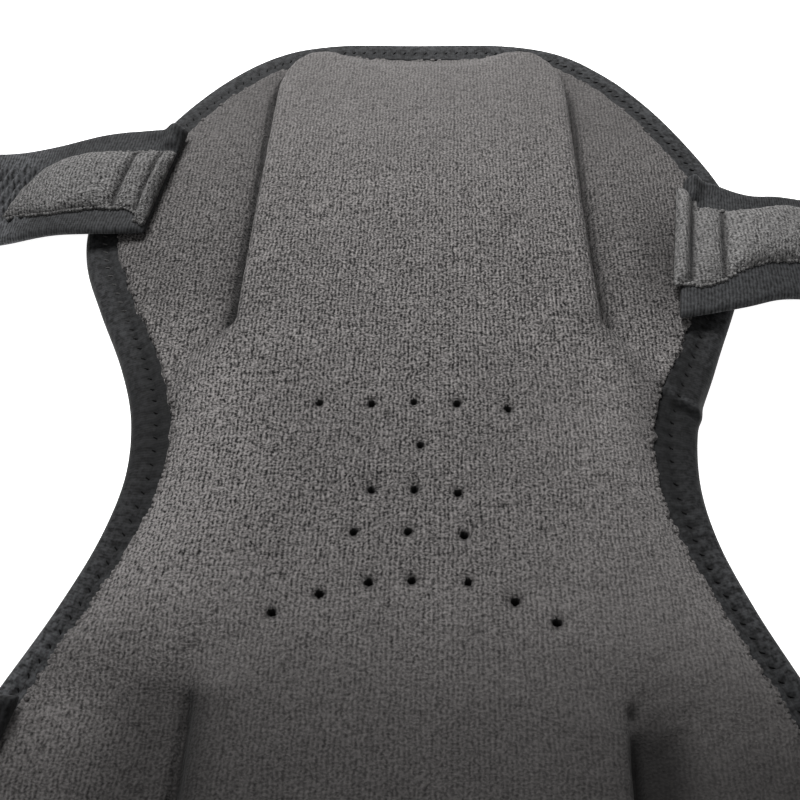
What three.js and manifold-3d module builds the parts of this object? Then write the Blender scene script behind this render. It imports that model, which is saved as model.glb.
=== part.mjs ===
// A padded knee brace laid open with its lining up.
// Millimetres: +X across the leg, +Y towards the thigh, +Z up, the outer face lies on the floor at z = 0.
import * as THREE from 'three';
import { mergeVertices } from 'three/addons/utils/BufferGeometryUtils.js';
import Module from 'manifold-3d';

const { smoothstep, degToRad } = THREE.MathUtils;

// Clearance between pieces that touch.
const GAP = 0.35;

// One quarter of the hourglass outline, from the waist to the middle of the thigh end. Three more mirror it.
const OUTLINE = [
  { along: 0, half: 70.4 },
  { along: 16, half: 72.6 },
  { along: 34, half: 78.8 },
  { along: 54, half: 87.8 },
  { along: 70, half: 94.4 },
  { along: 86, half: 96.8 },
  { along: 103, half: 92.6 },
  { along: 122, half: 84.4 },
  { along: 140, half: 74.2 },
  { along: 155, half: 62.2 },
  { along: 166, half: 48.2 },
  { along: 171, half: 32 },
  { along: 171.6, half: 0 },
];

// The brace lies a little askew: its edges above the waist lean to the right.
const EDGE_LEAN = { shift: 1.5, along: 26, length: 26, half: 70 };

// The padded panel: how far its flaps and its raised middle stand over the tape's margin.
const FLAP_START = 0.9;
const FLAP_RISE = 2.3;
const FLAP_SOFTNESS = 7;
const MIDDLE_RISE = 5.2;

// The raised middle turns round a corner from each dart into the end, which dips between its two shoulders.
const END_CORNER = 13;
const END_ROLL = 5;
const END_DIP = 18;
const END_START = { corner: [90, 120], roll: [135, 150], dip: [140, 155] };
const END_AWAY = 60;
const SHOULDER_ACROSS = [12, 34];

// The darts: seams from the two ends towards the waist, which split the raised middle from the flaps. For each,
// where its tip and its end lie, how wide the middle's roll beside it is, how deep its groove is, how far the roll
// runs out towards the waist, and whether it spreads to the waist's edge there (1) or fades (0).
const DARTS = {
  thigh: [
    { tip: 43, tipAcross: 47.9, endAcross: 46.2, roll: 5, groove: 3.6, runOut: 30, spread: 1 },
    { tip: 42, tipAcross: 51.2, endAcross: 47.8, roll: 5, groove: 3.6, runOut: 30, spread: 1 },
  ],
  calf: [
    { tip: 54, tipAcross: 43.7, endAcross: 43.7, roll: 13, groove: 2.4, runOut: 20, spread: 0 },
    { tip: 62.5, tipAcross: 47, endAcross: 48.4, roll: 5, groove: 3, runOut: 18, spread: 0 },
  ],
};
const DART_END = 147;
const GROOVE_WIDTH = 2.8;
const GROOVE_START = { before: 2, after: 12 };
const ROLL_START = 4;
const WAIST_BORDER = 81.5;
const WAIST_WIDTH = 26;
const WAIST_SOFTNESS = 14;

// The tape round the panel's edge: folded flat knit with a floor leg, a round nose and a sloping upper leg.
const TAPE_WIDTH = 10.5;
const TAPE_THICKNESS = 1.1;
const TAPE_FLOOR_LEG = 6.5;
const TAPE_NOSE = 2;
const TAPE_SHOULDER = 4.2;
const TAPE_ROUNDING = 1.8;
const MARGIN_HEIGHT = { thigh: 6, top: 5.4, calf: 8 };
const MARGIN_CHANGE = { top: [125, 160], calf: [8, 45] };

// Vent holes in the middle of the panel.
const VENT_RADIUS = 1;
const VENT_SIDES = 10;
const VENTS = [
  { along: 16, across: [-21.8, -9, 1.5, 12.1] },
  { along: 14.7, across: [24.7] },
  { along: 4.1, across: [3.3] },
  { along: -8.3, across: [-7.8, 2.2, 12.4] },
  { along: -19.6, across: [-11.1, 1.1, 13.7] },
  { along: -31.7, across: [-7.1, 2.3, 14.5] },
  { along: -34.6, across: [-17.5] },
  { along: -36.4, across: [24.6] },
  { along: -38.7, across: [-27.4] },
  { along: -41.1, across: [33.3] },
];

// The towelling pads on the straps: a turned-under roll, two cross seams and a dome that ends in a slanted tip.
// The roll's places are shares of the way to the first seam, the taper's are counted back from the pad's end.
const PAD_ROLL = [
  { share: 0, rise: 1 },
  { share: 0.3, rise: 3.8 },
  { share: 0.6, rise: 3.8 },
  { share: 1, rise: 0.9 },
];
const PAD_FIELD = [
  { s: 6, rise: 2.6 },
  { s: 8.7, rise: 3.4 },
  { s: 11.2, rise: 2.6 },
  { s: 12.6, rise: 0.9 },
  { s: 14.2, rise: 2.8 },
  { s: 20, rise: 4.2 },
  { s: 24, rise: 4.5 },
  { s: 28, rise: 4.6 },
];
const PAD_TAPER = [
  { left: 18, rise: 4.6 },
  { left: 13, rise: 4.4 },
  { left: 9, rise: 4.2 },
  { left: 4, rise: 3.2 },
  { left: 1, rise: 1.7 },
];
const PAD_TIP = 18.5;
const PAD_TIP_POWER = 2.6;
const PAD_SECTION = [
  { across: -1, top: 0.15 },
  { across: -0.86, top: 0.6 },
  { across: -0.45, top: 0.93 },
  { across: 0, top: 1 },
  { across: 0.45, top: 0.93 },
  { across: 0.86, top: 0.6 },
  { across: 1, top: 0.15 },
];

// Two sizes of pad: where it starts, its first seam and its end, and its half widths on the far and waist sides.
const PAD_SHORT = {
  start: 0.9,
  seam: 4.9,
  end: 48.5,
  sides: [
    { s: 0, far: 8.4, near: 19.8 },
    { s: 4.6, far: 9, near: 18.5 },
    { s: 5.2, far: 10, near: 14.5 },
    { s: 12.6, far: 9.8, near: 13.4 },
    { s: 32, far: 9.6, near: 13.2 },
    { s: 42, far: 9.6, near: 11 },
  ],
};
const PAD_LONG = {
  start: -1.3,
  seam: 3.6,
  end: 64,
  sides: [
    { s: 0, far: 21.5, near: 15.2 },
    { s: 4.6, far: 18.5, near: 16 },
    { s: 5.2, far: 12.2, near: 16.6 },
    { s: 12.6, far: 11, near: 15 },
    { s: 16, far: 10.2, near: 12.3 },
    { s: 24, far: 10.6, near: 9 },
    { s: 32, far: 13, near: 7.6 },
  ],
};

// The straps: where the middle of each sewn end lies, which way the strap runs, how far that end is cut askew,
// on which side its waist edge is, how high the flap is under it, how wide half of the sewn end is, between which
// lengths it narrows, how far it bows towards the waist there, and its pad.
const STRAPS = [
  {
    name: 'upper_left', across: -73.4, along: 98.2, turn: 180, skew: -8, waistSide: 1,
    seat: 8.4, endHalf: 21.8, flare: [10, 40], bow: 0.5, pad: PAD_SHORT,
  },
  {
    name: 'upper_right', across: 74.6, along: 71.3, turn: 5.5, skew: -14, waistSide: -1,
    seat: 8.4, endHalf: 26, flare: [2, 28], bow: 2.2, pad: PAD_LONG,
  },
  {
    name: 'lower_left', across: -81.5, along: -77, turn: 176, skew: -8, waistSide: 1,
    seat: 9.9, endHalf: 21.8, flare: [10, 40], bow: 0.5, pad: PAD_SHORT,
  },
  {
    name: 'lower_right', across: 81.5, along: -79, turn: 4, skew: -12, waistSide: -1,
    seat: 9.9, endHalf: 21.8, flare: [10, 40], bow: 0.5, pad: PAD_SHORT,
  },
];
const STRAP_LENGTH = 150;
const STRAP_CORNER = 14;
const STRAP_DROP = { from: 14, to: 58 };
const SKEW_FADE = 60;
const BOW = { at: 20, length: 9 };
const BAND_HALF = 19.5;
const BAND_THICKNESS = { sewn: 2.6, free: 3.4, change: [12, 28] };
const BAND_STATIONS = [1, 4, 9, 14.2, 20, 24, 28, 32, 36, 41, 47, 52, 58, 90, 136];
const BAND_TIP_STEPS = 5;
const BAND_SECTION = [
  { across: -1, top: 0.6, bottom: 0.3 },
  { across: -0.92, top: 0.95, bottom: 0 },
  { across: -0.5, top: 1, bottom: 0 },
  { across: 0, top: 1, bottom: 0 },
  { across: 0.5, top: 1, bottom: 0 },
  { across: 0.92, top: 0.95, bottom: 0 },
  { across: 1, top: 0.6, bottom: 0.3 },
];

// Lines of the panel's mesh: columns and rows of one quarter, and how far its inner frame lies from the edge.
const COLUMNS = [0, 14, 27, 37, 43.5, 47.5, 51.5, 58, 66];
const ROWS = [0, 12, 24, 34, 42, 50, 60, 72, 86, 100, 112];
const FRAME_INSET = 16;
const STRAIGHT_COLUMN = 51.5;

const TERRY = { color: 0x67625e, roughness: 0.95, metalness: 0 };
const KNIT = { color: 0x2b2c2e, roughness: 0.85, metalness: 0 };

const wasm = await Module();
wasm.setup();

// Closed curve through the mirrored quarter, run anticlockwise from the right of the waist.
function outlineCurve() {
  const last = OUTLINE.length - 1;
  const corner = (row, sideX, sideY) => new THREE.Vector3(sideX * row.half, sideY * row.along, 0);
  const upward = OUTLINE.map((row) => corner(row, 1, 1));
  const over = OUTLINE.slice(0, last).reverse().map((row) => corner(row, -1, 1));
  const downward = OUTLINE.slice(1).map((row) => corner(row, -1, -1));
  const under = OUTLINE.slice(1, last).reverse().map((row) => corner(row, 1, -1));
  return new THREE.CatmullRomCurve3([...upward, ...over, ...downward, ...under], true, 'centripetal');
}

const outline = outlineCurve();
const outlinePoints = outline.getSpacedPoints(1200);

function edgeAt(t) {
  const point = outline.getPoint(t);
  const tangent = outline.getTangent(t);
  return { x: point.x, y: point.y, inX: -tangent.y, inY: tangent.x };
}

function inset(edge, distance) {
  return { x: edge.x + edge.inX * distance, y: edge.y + edge.inY * distance };
}

function distanceToEdge(x, y) {
  return Math.sqrt(Math.min(...outlinePoints.map((p) => (p.x - x) ** 2 + (p.y - y) ** 2)));
}

function bisect(rises, low, high, target) {
  for (let step = 0; step < 40; step += 1) {
    const middle = (low + high) / 2;
    if (rises(middle) < target) low = middle;
    else high = middle;
  }
  return (low + high) / 2;
}

// Value between the rows of a table, by its column s.
function between(rows, s, column) {
  const next = rows.findIndex((row) => row.s >= s);
  if (next <= 0) return rows.at(next)[column];
  const [a, b] = [rows[next - 1], rows[next]];
  return a[column] + ((b[column] - a[column]) * (s - a.s)) / (b.s - a.s);
}

// Height of the outer face of the tape at its inner margin: lowest at the thigh end, higher on the calf half.
function marginHeight(y) {
  const calf = (MARGIN_HEIGHT.calf - MARGIN_HEIGHT.thigh) * smoothstep(-y, ...MARGIN_CHANGE.calf);
  const top = (MARGIN_HEIGHT.top - MARGIN_HEIGHT.thigh) * smoothstep(y, ...MARGIN_CHANGE.top);
  return MARGIN_HEIGHT.thigh + calf + top;
}

function tapeReach(y) {
  return Math.sqrt(TAPE_WIDTH ** 2 - (marginHeight(y) - TAPE_SHOULDER) ** 2);
}

// Upper face of the tape: a quarter ellipse from the nose to the shoulder, then a slope to the margin.
function tapeTop(y, distance) {
  const turn = 1 - Math.min(1, distance / TAPE_ROUNDING);
  const shoulder = TAPE_NOSE + (TAPE_SHOULDER - TAPE_NOSE) * Math.sqrt(1 - turn ** 2);
  return shoulder + (marginHeight(y) - TAPE_SHOULDER) * Math.min(1, distance / tapeReach(y));
}

// Distance into the raised middle from its border, which follows the dart and turns a corner into the end.
function gapInside(dartAcross, side, reach, inside) {
  const toDart = dartAcross - side;
  const toEnd = inside + END_AWAY * (1 - smoothstep(reach, ...END_START.corner));
  const corner = Math.hypot(Math.max(0, END_CORNER - toDart), Math.max(0, END_CORNER - toEnd));
  return Math.max(END_CORNER, Math.min(toDart, toEnd)) - corner;
}

// Lining height inside the tape: a flap that rises from the margin, the raised middle, and the dart grooves.
function liningHeight(x, y, distance) {
  const [side, reach] = [Math.abs(x), Math.abs(y)];
  const dart = (y > 0 ? DARTS.thigh : DARTS.calf)[x < 0 ? 0 : 1];
  const inside = Math.max(0, distance - tapeReach(y));
  const run = Math.min(1, Math.max(0, (reach - dart.tip) / (DART_END - dart.tip)));
  const dartAcross = dart.tipAcross + (dart.endAcross - dart.tipAcross) * run;
  const open = 1 - smoothstep(reach - dart.tip, -dart.runOut, ROLL_START);
  const spread = open * dart.spread;
  const dip = smoothstep(reach, ...END_START.dip) * (1 - smoothstep(side, ...SHOULDER_ACROSS));
  const atEnd = smoothstep(reach, ...END_START.roll);
  const gap = (WAIST_BORDER - side) * spread + gapInside(dartAcross, side, reach, inside) * (1 - spread);
  const alongDart = dart.roll * (1 - open) + WAIST_WIDTH * open;
  const width = alongDart * (1 - atEnd) + (END_ROLL + (END_DIP - END_ROLL) * dip) * atEnd;
  const share = Math.min(1, Math.max(0, gap / width));
  const round = (1 - open) ** 3 * (1 - dip);
  const profile = Math.sqrt(1 - (1 - share) ** 2) * round + smoothstep(share, 0, 1) * (1 - round);
  const middle = 1 - (1 - profile) * (1 - open + spread);
  const flap = FLAP_START * (1 - dip) + (FLAP_RISE - FLAP_START) * (1 - Math.exp(-inside / FLAP_SOFTNESS));
  const raised = MIDDLE_RISE * middle * (1 - open * Math.exp(-inside / WAIST_SOFTNESS));
  const sewn = smoothstep(reach - dart.tip, -GROOVE_START.before, GROOVE_START.after) * (1 - atEnd);
  const groove = dart.groove * sewn * Math.exp(-(((side - dartAcross) / GROOVE_WIDTH) ** 2));
  return marginHeight(y) + flap + raised - groove;
}

// Point of the panel or its tape as the brace lies: the edges above the waist lean to the right.
function settled({ x, y, z }) {
  const { shift, along, length, half } = EDGE_LEAN;
  const lean = shift * Math.exp(-(((y - along) / length) ** 2)) * Math.min(1, Math.abs(x) / half) ** 2;
  return { x: x + lean, y, z };
}

// Closed solid between an upper and a lower sheet with the same faces, walled along the anticlockwise rim.
function solidBetween(top, bottom, quads, rim) {
  const count = top.length;
  const triangles = [];
  for (const [a, b, c, d] of quads) {
    triangles.push(a, b, c, a, c, d);
    triangles.push(count + a, count + c, count + b, count + a, count + d, count + c);
  }
  rim.forEach((a, i) => {
    const b = rim[(i + 1) % rim.length];
    triangles.push(a, count + a, count + b, a, count + b, b);
  });
  const geometry = new THREE.BufferGeometry();
  const positions = [...top, ...bottom].flatMap((p) => [p.x, p.y, p.z]);
  geometry.setAttribute('position', new THREE.Float32BufferAttribute(positions, 3));
  geometry.setIndex(triangles);
  return geometry;
}

function toManifold(geometry) {
  const bare = geometry.clone();
  bare.deleteAttribute('normal');
  bare.deleteAttribute('uv');
  const merged = mergeVertices(bare);
  const vertProperties = new Float32Array(merged.attributes.position.array);
  const triVerts = new Uint32Array(merged.index.array);
  return new wasm.Manifold(new wasm.Mesh({ numProp: 3, vertProperties, triVerts }));
}

function fromManifold(solid) {
  const { vertProperties, triVerts } = solid.getMesh();
  const geometry = new THREE.BufferGeometry();
  geometry.setAttribute('position', new THREE.Float32BufferAttribute(Array.from(vertProperties), 3));
  geometry.setIndex(Array.from(triVerts));
  return geometry;
}

// The panel's mesh lines: places on one quarter's edge, at which the inner frame meets the rows and columns.
const cornerTime = bisect((t) => -inset(edgeAt(t), FRAME_INSET).x, 0.12, 0.25, -COLUMNS.at(-1));
const rowTimes = ROWS.map((y) => bisect((t) => inset(edgeAt(t), FRAME_INSET).y, 0, cornerTime, y));
const columnTimes = COLUMNS.map((x) => bisect((t) => -inset(edgeAt(t), FRAME_INSET).x, cornerTime, 0.25, -x));
const lastColumn = COLUMNS.length - 1;
const lastRow = ROWS.length;

function mirrored(edge, sideX, sideY) {
  return { x: sideX * edge.x, y: sideY * edge.y, inX: sideX * edge.inX, inY: sideY * edge.inY };
}

// Places on the edge in anticlockwise order, each with its column and row in the inner frame's grid.
function edgePlaces() {
  const places = [];
  const onSide = (row, sideX) => {
    const t = Math.abs(row) === lastRow ? cornerTime : rowTimes[Math.abs(row)];
    places.push({ ...mirrored(edgeAt(t), sideX, Math.sign(row) || 1), column: sideX * lastColumn, row });
  };
  const onEnd = (column, sideY) => {
    const edge = edgeAt(columnTimes[Math.abs(column)]);
    places.push({ ...mirrored(edge, Math.sign(column) || 1, sideY), column, row: sideY * lastRow });
  };
  for (let row = -lastRow; row <= lastRow; row += 1) onSide(row, 1);
  for (let column = lastColumn - 1; column > -lastColumn; column -= 1) onEnd(column, 1);
  for (let row = lastRow; row >= -lastRow; row -= 1) onSide(row, -1);
  for (let column = 1 - lastColumn; column < lastColumn; column += 1) onEnd(column, -1);
  return places;
}

const places = edgePlaces();

function bodyPanel() {
  const top = [];
  const bottom = [];
  const quads = [];
  const add = (x, y, zTop, zBottom) => {
    top.push({ x, y, z: zTop });
    bottom.push({ x, y, z: zBottom });
    return top.length - 1;
  };

  // Rings under the tape and just inside it.
  const underTape = TAPE_THICKNESS + GAP;
  const rings = places.map((place) => {
    const reach = tapeReach(place.y);
    const margin = marginHeight(place.y);
    const squeezed = (distance) => tapeTop(place.y, distance) - underTape;
    const steps = [
      { distance: 2.2, zTop: squeezed(2.2), zBottom: underTape },
      { distance: 5, zTop: squeezed(5), zBottom: underTape },
      { distance: reach - 0.6, zTop: squeezed(reach - 0.6), zBottom: underTape },
      { distance: reach + 0.4, zTop: margin - underTape, zBottom: 0.6 },
      { distance: reach + 2.8, lining: true, zBottom: 0 },
      { distance: FRAME_INSET, lining: true, zBottom: 0 },
    ];
    return steps.map(({ distance, zTop, lining, zBottom }) => {
      const { x, y } = inset(place, distance);
      return add(x, y, lining ? liningHeight(x, y, distance) : zTop, zBottom);
    });
  });
  rings.forEach((ring, i) => {
    const next = rings[(i + 1) % rings.length];
    for (let k = 0; k + 1 < ring.length; k += 1) quads.push([ring[k], next[k], next[k + 1], ring[k + 1]]);
  });

  // Grid inside the frame. Columns stay straight up to the darts, and the flaps take up the change of width.
  const frameIndex = new Map(places.map((place, i) => [`${place.column},${place.row}`, rings[i].at(-1)]));
  const widest = COLUMNS[lastColumn];
  const cornerY = top[frameIndex.get(`${lastColumn},${lastRow}`)].y;
  const gridIndex = (column, row) => {
    const onFrame = frameIndex.get(`${column},${row}`);
    if (onFrame !== undefined) return onFrame;
    const side = top[frameIndex.get(`${lastColumn},${row}`)].x;
    const end = top[frameIndex.get(`${column},${lastRow}`)].y;
    const plain = COLUMNS[Math.abs(column)];
    const outer = Math.max(0, (plain - STRAIGHT_COLUMN) / (widest - STRAIGHT_COLUMN));
    const half = side < widest ? (plain * side) / widest : plain + outer * (side - widest);
    const x = Math.sign(column) * half;
    const y = (Math.sign(row) * ROWS[Math.abs(row)] * end) / cornerY;
    return add(x, y, liningHeight(x, y, distanceToEdge(x, y)), 0);
  };
  const grid = [];
  for (let row = -lastRow; row <= lastRow; row += 1) {
    const line = [];
    for (let column = -lastColumn; column <= lastColumn; column += 1) line.push(gridIndex(column, row));
    grid.push(line);
  }
  for (let r = 0; r + 1 < grid.length; r += 1) {
    for (let c = 0; c + 1 < grid[r].length; c += 1) {
      quads.push([grid[r][c], grid[r][c + 1], grid[r + 1][c + 1], grid[r + 1][c]]);
    }
  }
  const panel = solidBetween(top.map(settled), bottom.map(settled), quads, rings.map((ring) => ring[0]));

  const punch = new THREE.CylinderGeometry(VENT_RADIUS, VENT_RADIUS, 60, VENT_SIDES).rotateX(Math.PI / 2);
  const vents = VENTS.flatMap(({ along, across }) => across.map((x) => punch.clone().translate(x, along, 0)));
  return fromManifold(vents.reduce((solid, vent) => solid.subtract(toManifold(vent)), toManifold(panel)));
}

// The tape's folded section carried once round the edge.
function bodyBinding() {
  const sections = places.map((place) => {
    const reach = tapeReach(place.y);
    const outer = [0.5, TAPE_ROUNDING, 5.4, reach].map((d) => [d, tapeTop(place.y, d)]);
    const inner = [reach, 5.4, 2.6, 1.3].map((d) => [d, tapeTop(place.y, d) - TAPE_THICKNESS]);
    const nose = [[TAPE_FLOOR_LEG, 0], [1.2, 0], [0, TAPE_NOSE - 0.3]];
    const fold = [[1.6, TAPE_THICKNESS], [TAPE_FLOOR_LEG, TAPE_THICKNESS]];
    return [...nose, ...outer, ...inner, ...fold].map(([d, z]) => settled({ ...inset(place, d), z }));
  });
  const around = sections[0].length;
  const triangles = [];
  sections.forEach((section, i) => {
    const next = (i + 1) % sections.length;
    for (let k = 0; k < around; k += 1) {
      const l = (k + 1) % around;
      const [a, b] = [i * around + k, next * around + k];
      const [c, d] = [next * around + l, i * around + l];
      triangles.push(a, b, c, a, c, d);
    }
  });
  const geometry = new THREE.BufferGeometry();
  const positions = sections.flat().flatMap((p) => [p.x, p.y, p.z]);
  geometry.setAttribute('position', new THREE.Float32BufferAttribute(positions, 3));
  geometry.setIndex(triangles);
  return geometry;
}

// Place on a strap: s runs from the sewn end to the free end, w across it.
function onStrap(strap, s, w) {
  const run = degToRad(strap.turn);
  const lean = run + degToRad(strap.skew) * (1 - smoothstep(s, 0, SKEW_FADE));
  return {
    x: strap.across + s * Math.cos(run) - w * Math.sin(lean),
    y: strap.along + s * Math.sin(run) + w * Math.cos(lean),
  };
}

// Underside of a strap: it lies on the flap, steps down past the panel's edge and rests on the floor.
function strapFloor(strap, s) {
  return strap.seat * (1 - smoothstep(s, STRAP_DROP.from, STRAP_DROP.to));
}

function bandThickness(s) {
  const { sewn, free, change } = BAND_THICKNESS;
  return sewn + (free - sewn) * smoothstep(s, ...change);
}

// Closed solid over a grid of stations along a strap and points across it.
function stripSolid(stations) {
  const width = stations[0].length;
  const at = (station, point) => station * width + point;
  const quads = [];
  for (let i = 0; i + 1 < stations.length; i += 1) {
    for (let k = 0; k + 1 < width; k += 1) {
      quads.push([at(i, k), at(i + 1, k), at(i + 1, k + 1), at(i, k + 1)]);
    }
  }
  const length = stations.length;
  const rim = [];
  for (let i = 0; i < length; i += 1) rim.push(at(i, 0));
  for (let k = 1; k < width; k += 1) rim.push(at(length - 1, k));
  for (let i = length - 2; i >= 0; i -= 1) rim.push(at(i, width - 1));
  for (let k = width - 2; k > 0; k -= 1) rim.push(at(0, k));
  const points = stations.flat();
  const top = points.map(({ x, y, zTop }) => ({ x, y, z: zTop }));
  const bottom = points.map(({ x, y, zBottom }) => ({ x, y, z: zBottom }));
  return solidBetween(top, bottom, quads, rim);
}

function strapBand(strap) {
  const rows = BAND_STATIONS.map((s) => ({ s, round: 0, thin: 1 }));
  for (let step = 1; step <= BAND_TIP_STEPS; step += 1) {
    const angle = (step / BAND_TIP_STEPS) * (Math.PI / 2);
    const s = STRAP_LENGTH - STRAP_CORNER * (1 - Math.sin(angle));
    const thin = step === BAND_TIP_STEPS ? 0.6 : 1;
    rows.push({ s, round: STRAP_CORNER * (1 - Math.cos(angle)), thin });
  }
  return stripSolid(rows.map(({ s, round, thin }) => {
    const half = BAND_HALF + (strap.endHalf - BAND_HALF) * (1 - smoothstep(s, ...strap.flare)) - round;
    const bow = strap.bow * strap.waistSide * Math.exp(-(((s - BOW.at) / BOW.length) ** 2));
    const thick = bandThickness(s) * thin;
    return BAND_SECTION.map((point) => ({
      ...onStrap(strap, s, point.across * half + bow),
      zTop: strapFloor(strap, s) + point.top * thick,
      zBottom: strapFloor(strap, s) + point.bottom * thick,
    }));
  }));
}

// The stations of a pad: its roll, its field, the band's own stations under the long dome, and its taper.
function padStations({ start, seam, end }) {
  const roll = PAD_ROLL.map(({ share, rise }) => ({ s: start + (seam - start) * share, rise }));
  const taper = PAD_TAPER.map(({ left, rise }) => ({ s: end - left, rise }));
  const [from, to] = [PAD_FIELD.at(-1), taper[0]];
  const dome = BAND_STATIONS.filter((s) => s > from.s && s < to.s - 1).map((s) => ({ s, rise: from.rise }));
  return [...roll, ...PAD_FIELD, ...dome, ...taper];
}

function strapPad(strap) {
  const { sides, end } = strap.pad;
  return stripSolid(padStations(strap.pad).map(({ s, rise }) => {
    const seat = strapFloor(strap, s) + bandThickness(s) + GAP;
    const near = between(sides, s, 'near');
    const full = between(sides, s, 'far');
    const tip = Math.max(0, (s - end + PAD_TIP) / PAD_TIP) ** PAD_TIP_POWER;
    const far = full - (full + near) * tip;
    const edges = strap.waistSide > 0 ? [-far, near] : [-near, far];
    return PAD_SECTION.map((point) => ({
      ...onStrap(strap, s, (edges[0] + edges[1]) / 2 + (point.across * (edges[1] - edges[0])) / 2),
      zTop: seat + point.top * rise,
      zBottom: seat,
    }));
  }));
}

function piece(name, geometry, finish) {
  const mesh = new THREE.Mesh(geometry, new THREE.MeshStandardMaterial(finish));
  geometry.computeVertexNormals();
  mesh.name = name;
  return mesh;
}

const brace = new THREE.Group();
brace.add(piece('body_panel', bodyPanel(), TERRY));
brace.add(piece('body_binding', bodyBinding(), KNIT));
for (const strap of STRAPS) {
  brace.add(piece(`strap_${strap.name}`, strapBand(strap), KNIT));
  brace.add(piece(`strap_pad_${strap.name}`, strapPad(strap), TERRY));
}

export default brace;
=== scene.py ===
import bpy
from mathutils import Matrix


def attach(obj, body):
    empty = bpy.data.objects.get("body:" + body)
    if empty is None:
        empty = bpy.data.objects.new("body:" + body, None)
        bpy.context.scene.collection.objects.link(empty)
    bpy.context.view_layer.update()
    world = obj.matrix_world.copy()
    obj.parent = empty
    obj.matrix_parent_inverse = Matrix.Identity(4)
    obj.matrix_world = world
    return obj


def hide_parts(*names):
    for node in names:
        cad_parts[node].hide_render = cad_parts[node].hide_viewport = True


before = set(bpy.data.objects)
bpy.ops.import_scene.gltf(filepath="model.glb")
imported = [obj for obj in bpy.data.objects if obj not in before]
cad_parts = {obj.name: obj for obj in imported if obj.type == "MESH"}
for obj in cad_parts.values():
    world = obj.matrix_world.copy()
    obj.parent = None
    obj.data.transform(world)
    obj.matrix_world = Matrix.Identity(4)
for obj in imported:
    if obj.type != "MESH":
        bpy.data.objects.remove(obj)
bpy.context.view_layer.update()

from types import SimpleNamespace

import bpy
import numpy as np
from mathutils import Vector

# The outer cover
# Black jersey on the outside of the panel, cut to the hourglass outline. It lies on the floor, its edge
# turns up into the fold of the tape, and the vent holes go right through it.
MM = 0.001

# One quarter of the outline in millimetres, from the waist to the middle of an end. The others mirror it.
QUARTER_ALONG = np.array([0, 16, 34, 54, 70, 86, 103, 122, 140, 155, 166, 171, 171.6])
QUARTER_HALF = np.array([70.4, 72.6, 78.8, 87.8, 94.4, 96.8, 92.6, 84.4, 74.2, 62.2, 48.2, 32, 0])
CURVE_STEPS = 40

# How the brace lies askew: its edges lean above the waist, and its right edge lies farther out, except
# where the tape's lap holds it.
WAIST_LEAN = 1.5
LEAN_ALONG = 26
LEAN_LENGTH = 26
LEAN_ACROSS = 70
RIGHT_SLACK = 1.15
SLACK_ACROSS = (46, 66)
SLACK_STARTS = (-125, -90)
SLACK_STOPS = (60, 85)
LAP_HOLD = 0.8
LAP_HOLD_ALONG = 17
LAP_HOLD_LENGTH = 11

FRAME_INSET = 16
FRAME_CORNER = 66
STRAIGHT_COLUMN = 51.5

COVER_RIM = 3.0
COVER_REST = 0.02
COVER_LIFT = 1.35
COVER_TURN = (7.2, 11)
COVER_THICKNESS = 0.7
COVER_WALE = 0.8
COVER_COURSE = 0.65
COVER_DARK = (0.012, 0.0125, 0.0135, 1)
COVER_PALE = (0.035, 0.036, 0.039, 1)

VENT_RADIUS = 1.0
VENT_SIDES = 16
VENT_UNEVEN = (0.7, 1.1)
VENT_SPAN = (-5, 25)
VENTS = np.array([
    (-21.8, 15.9), (-9.0, 15.9), (1.5, 16.5), (12.1, 16.2), (24.7, 14.7), (3.3, 4.1),
    (-7.8, -8.1), (2.2, -8.1), (12.4, -8.9), (-11.1, -19.3), (1.1, -19.3), (13.7, -20.3),
    (-27.4, -38.7), (-17.5, -34.6), (-7.1, -31.8), (2.3, -31.4), (14.5, -31.8), (24.6, -36.4), (33.3, -41.1),
])


def smooth(value, low, high):
    """Cubic step: 0 up to low, 1 from high on, and 3t^2 - 2t^3 between them."""
    t = np.clip((value - low) / (high - low), 0, 1)
    return t * t * (3 - 2 * t)


def bell(value, width):
    """Bell curve: 1 where value is 0, and e to the minus square of value over width beside it."""
    return np.exp(-((value / width) ** 2))


def stepped(value, steps):
    """Sum of cubic steps, each with its height and with where it starts and ends."""
    return sum(height * smooth(value, start, end) for height, start, end in steps)


def closed_curve(points, steps):
    """Catmull-Rom spline through a closed ring of points, its chords weighed by the root of their length."""
    before, start, end, after = (np.roll(points, shift, 0)[:, None] for shift in (1, 0, -1, -2))
    first, chord, last = (np.sqrt(np.linalg.norm(b - a, axis=2, keepdims=True))
                          for a, b in ((before, start), (start, end), (end, after)))
    leave = chord * ((start - before) / first - (end - before) / (first + chord) + (end - start) / chord)
    arrive = chord * ((end - start) / chord - (after - start) / (chord + last) + (after - end) / last)
    t = (np.arange(steps) / steps)[None, :, None]
    curve = (2 * t**3 - 3 * t**2 + 1) * start + (t**3 - 2 * t**2 + t) * leave
    curve = curve + (3 * t**2 - 2 * t**3) * end + (t**3 - t**2) * arrive
    return curve.reshape(-1, 2)


quarter = np.stack([QUARTER_HALF, QUARTER_ALONG], 1)
outline = closed_curve(np.concatenate([
    quarter, quarter[-2::-1] * (-1, 1), quarter[1:] * (-1, -1), quarter[-2:0:-1] * (1, -1),
]), CURVE_STEPS)
outline_run = np.roll(outline, -1, 0) - np.roll(outline, 1, 0)
inward = outline_run[:, ::-1] * (-1, 1) / np.linalg.norm(outline_run, axis=1, keepdims=True)


def ring_places(ring):
    """Length along a closed ring of points at each of them, and round the whole ring at the end."""
    step = np.linalg.norm(np.diff(ring, axis=0, append=ring[:1]), axis=1)
    return np.concatenate([[0], np.cumsum(step)])


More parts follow.
